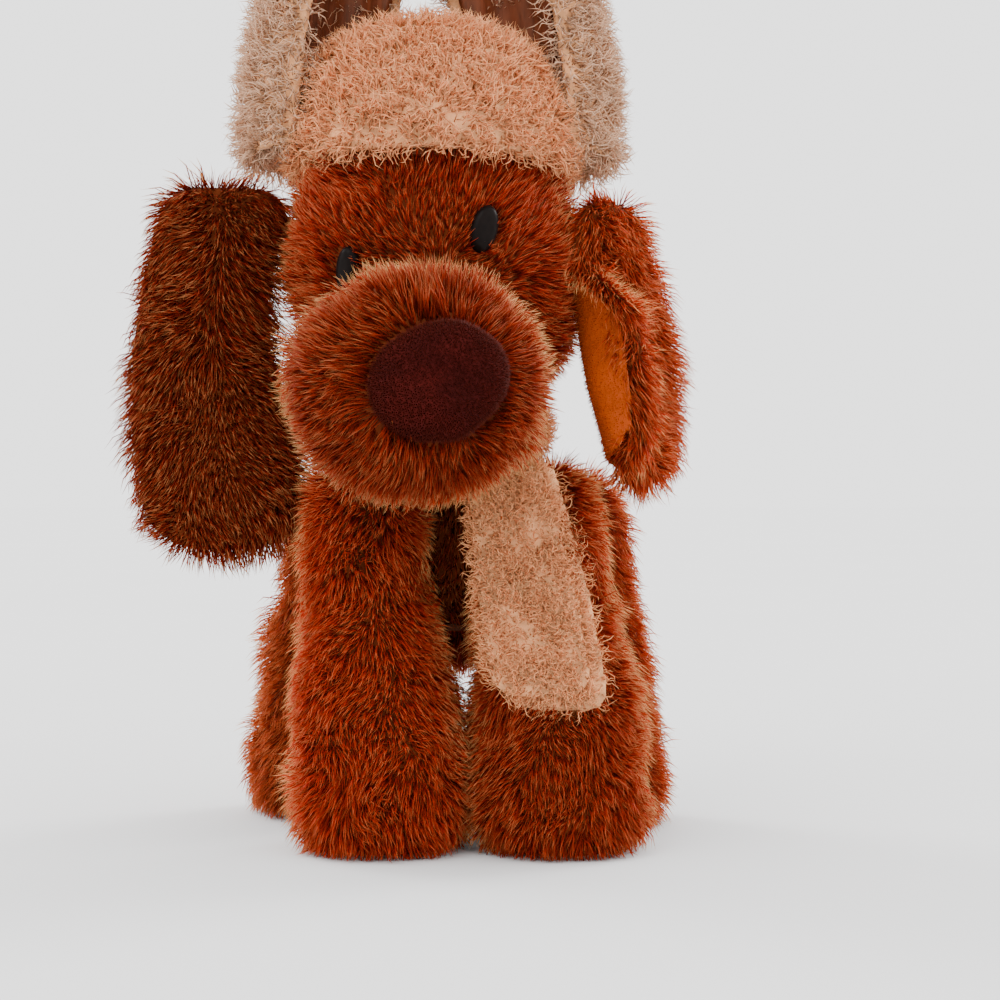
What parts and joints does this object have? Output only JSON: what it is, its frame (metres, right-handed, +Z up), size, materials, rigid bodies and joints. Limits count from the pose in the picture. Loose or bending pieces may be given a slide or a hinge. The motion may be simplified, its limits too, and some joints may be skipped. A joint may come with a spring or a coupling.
{
  "type": "plush dog hand puppet",
  "caption": "Floppy plush dog hand puppet in a hat and scarf: fingers reach up a belly sleeve into the head, and the paws, ears, tail and hat flaps swing.",
  "frame": {"origin": "on the floor, under the middle of the puppet's bounding box", "axes": "the dog looks along -Y, +X is its left side and the viewer's right, +Z is up"},
  "size_m": [0.1904, 0.187, 0.35],
  "materials": {
    "chestnut_plush": "long pile, matt",
    "cream_plush": "curly short pile, matt",
    "polyester_fibre": "loose white fibre",
    "bean_bag": "bag of plastic pellets",
    "sleeve_cloth": "smooth lining cloth",
    "brown_satin": "satin sheen",
    "ear_velboa": "short pile velboa",
    "nose_velour": "short pile velour",
    "eye_plastic": "gloss black",
    "eye_washer_plastic": "plain white"
  },
  "bodies": {
    "torso": {"torso_plush": "chestnut_plush", "torso_stuffing": "polyester_fibre", "hand_sleeve": "sleeve_cloth", "sleeve_hem": "sleeve_cloth", "scarf_collar": "cream_plush", "scarf_knot": "cream_plush"},
    "neck": {"neck_plush": "chestnut_plush"},
    "head": {"head_plush": "chestnut_plush", "head_stuffing": "polyester_fibre", "head_pocket_lining": "sleeve_cloth", "muzzle_plush": "chestnut_plush", "muzzle_stuffing": "polyester_fibre", "nose_pad": "nose_velour", "left_eye": "eye_plastic", "right_eye": "eye_plastic", "left_eye_washer": "eye_washer_plastic", "right_eye_washer": "eye_washer_plastic", "hat_crown_plush": "cream_plush", "hat_lining": "brown_satin"},
    "left_hat_flap": {"left_hat_flap_plush": "cream_plush", "left_hat_flap_lining": "brown_satin"},
    "right_hat_flap": {"right_hat_flap_plush": "cream_plush", "right_hat_flap_lining": "brown_satin"},
    "left_ear": {"left_ear_plush": "chestnut_plush", "left_ear_lining": "ear_velboa"},
    "right_ear": {"right_ear_plush": "chestnut_plush", "right_ear_lining": "ear_velboa"},
    "scarf_end": {"scarf_end_upper": "cream_plush", "scarf_end_under": "cream_plush"},
    "tail": {"tail_plush": "chestnut_plush", "tail_stuffing": "polyester_fibre"},
    "front_left_leg": {"front_left_leg_plush": "chestnut_plush", "front_left_leg_stuffing": "polyester_fibre", "front_left_paw_beans": "bean_bag"},
    "front_right_leg": {"front_right_leg_plush": "chestnut_plush", "front_right_leg_stuffing": "polyester_fibre", "front_right_paw_beans": "bean_bag"},
    "hind_left_leg": {"hind_left_leg_plush": "chestnut_plush", "hind_left_leg_stuffing": "polyester_fibre", "hind_left_paw_beans": "bean_bag"},
    "hind_right_leg": {"hind_right_leg_plush": "chestnut_plush", "hind_right_leg_stuffing": "polyester_fibre", "hind_right_paw_beans": "bean_bag"}
  },
  "joints": [
    {"name": "head_turn", "type": "hinge", "parent": "torso", "child": "neck", "pos_m": [0.01793, 0.02355, 0.158], "axis": [0, 0, 1], "range_deg": [-15, 10]},
    {"name": "head_nod", "type": "hinge", "parent": "neck", "child": "head", "pos_m": [0.01793, 0.02255, 0.168], "axis": [-1, 0, 0], "range_deg": [0, 14], "deforming": ["neck_plush"]},
    {"name": "left_flap_fold", "type": "hinge", "parent": "head", "child": "left_hat_flap", "pos_m": [-0.05607, 0.01855, 0.244], "axis": [0, -1, 0], "range_deg": [0, 25]},
    {"name": "right_flap_fold", "type": "hinge", "parent": "head", "child": "right_hat_flap", "pos_m": [0.07393, 0.02055, 0.244], "axis": [0, 1, 0], "range_deg": [0, 25]},
    {"name": "left_ear_lift", "type": "hinge", "parent": "head", "child": "left_ear", "pos_m": [-0.03907, -0.00145, 0.228], "axis": [0, 1, 0], "range_deg": [0, 35]},
    {"name": "right_ear_lift", "type": "hinge", "parent": "head", "child": "right_ear", "pos_m": [0.06093, -0.00945, 0.222], "axis": [0.7659, -0.6429, 0], "range_deg": [0, 35]},
    {"name": "front_left_leg_swing", "type": "hinge", "parent": "torso", "child": "front_left_leg", "pos_m": [-0.01437, -0.00705, 0.118], "axis": [-1, 0, 0], "range_deg": [0, 32]},
    {"name": "front_right_leg_swing", "type": "hinge", "parent": "torso", "child": "front_right_leg", "pos_m": [0.04813, -0.00565, 0.118], "axis": [-1, 0, 0], "range_deg": [0, 32]},
    {"name": "hind_left_leg_swing", "type": "hinge", "parent": "torso", "child": "hind_left_leg", "pos_m": [-0.02507, 0.05505, 0.116], "axis": [1, 0, 0], "range_deg": [0, 45]},
    {"name": "hind_right_leg_swing", "type": "hinge", "parent": "torso", "child": "hind_right_leg", "pos_m": [0.06173, 0.05545, 0.116], "axis": [1, 0, 0], "range_deg": [0, 45]},
    {"name": "scarf_lift", "type": "hinge", "parent": "torso", "child": "scarf_end", "pos_m": [0.03593, -0.02045, 0.133], "axis": [-1, 0, 0], "range_deg": [0, 40]},
    {"name": "tail_lift", "type": "hinge", "parent": "torso", "child": "tail", "pos_m": [0.01793, 0.0759, 0.109], "axis": [1, 0, 0], "range_deg": [0, 70]}
  ],
  "couplings": [
    {"joint": "scarf_lift", "follows": "front_right_leg_swing", "ratio": 1}
  ]
}
